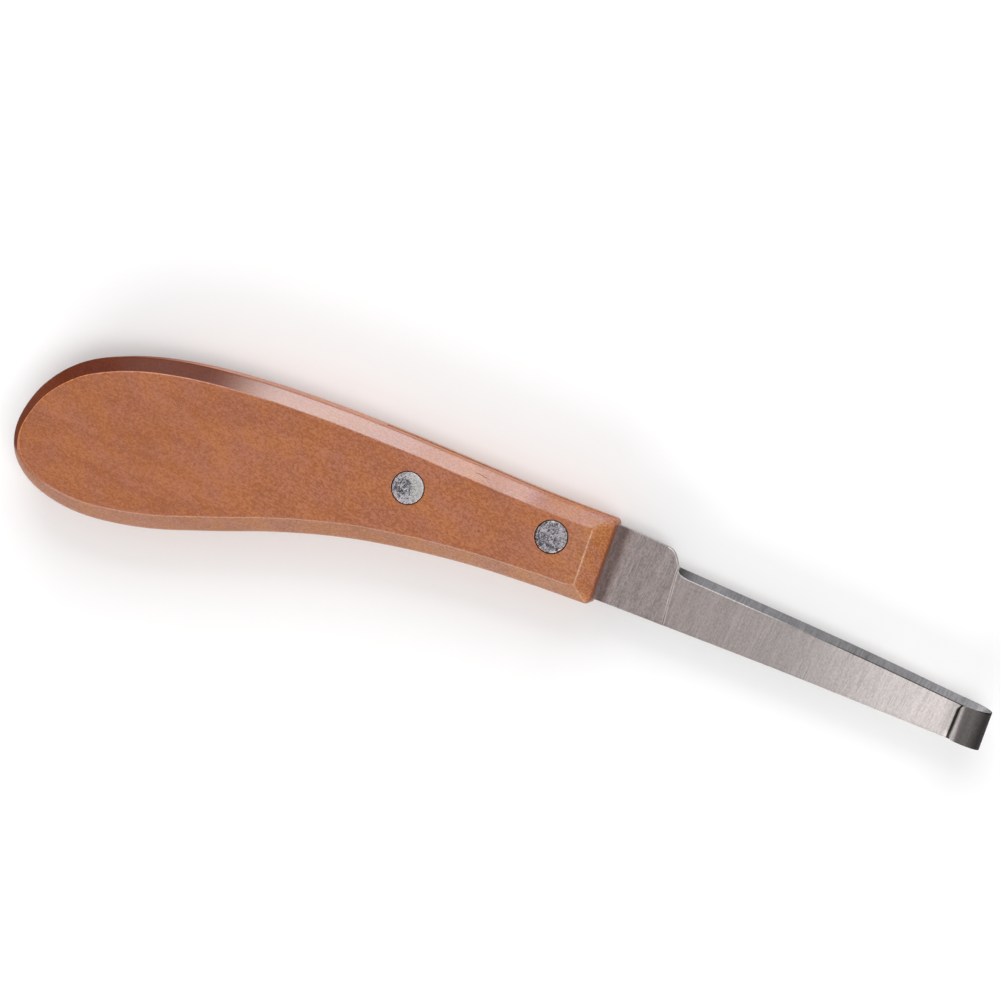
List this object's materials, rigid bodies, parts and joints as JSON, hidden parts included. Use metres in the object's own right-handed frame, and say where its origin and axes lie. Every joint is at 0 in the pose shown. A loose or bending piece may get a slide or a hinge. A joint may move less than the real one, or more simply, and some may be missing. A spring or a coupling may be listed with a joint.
{
  "type": "hoof knife",
  "caption": "Farrier's hoof knife: chamfered wooden handle with a drooping rounded butt, riveted to a flat steel blade with one bevelled edge and a curled hook at the tip.",
  "frame": {"origin": "bottom centre of the knife's box, with the knife lying on the back face of its handle", "axes": "+X along the blade towards its hooked tip, +Y towards the sharpened edge, +Z out of the front face, the way the hook curls"},
  "size_m": [0.2298, 0.0448, 0.015],
  "materials": {
    "handle_wood": "varnished, satin",
    "blade_steel": "ground across its length",
    "rivet_metal": "pressed, lightly dented"
  },
  "bodies": {
    "root": {"handle": "handle_wood", "blade": "blade_steel", "front_rivet_stud": "rivet_metal", "front_rivet_socket": "rivet_metal", "rear_rivet_stud": "rivet_metal", "rear_rivet_socket": "rivet_metal"}
  },
  "joints": []
}
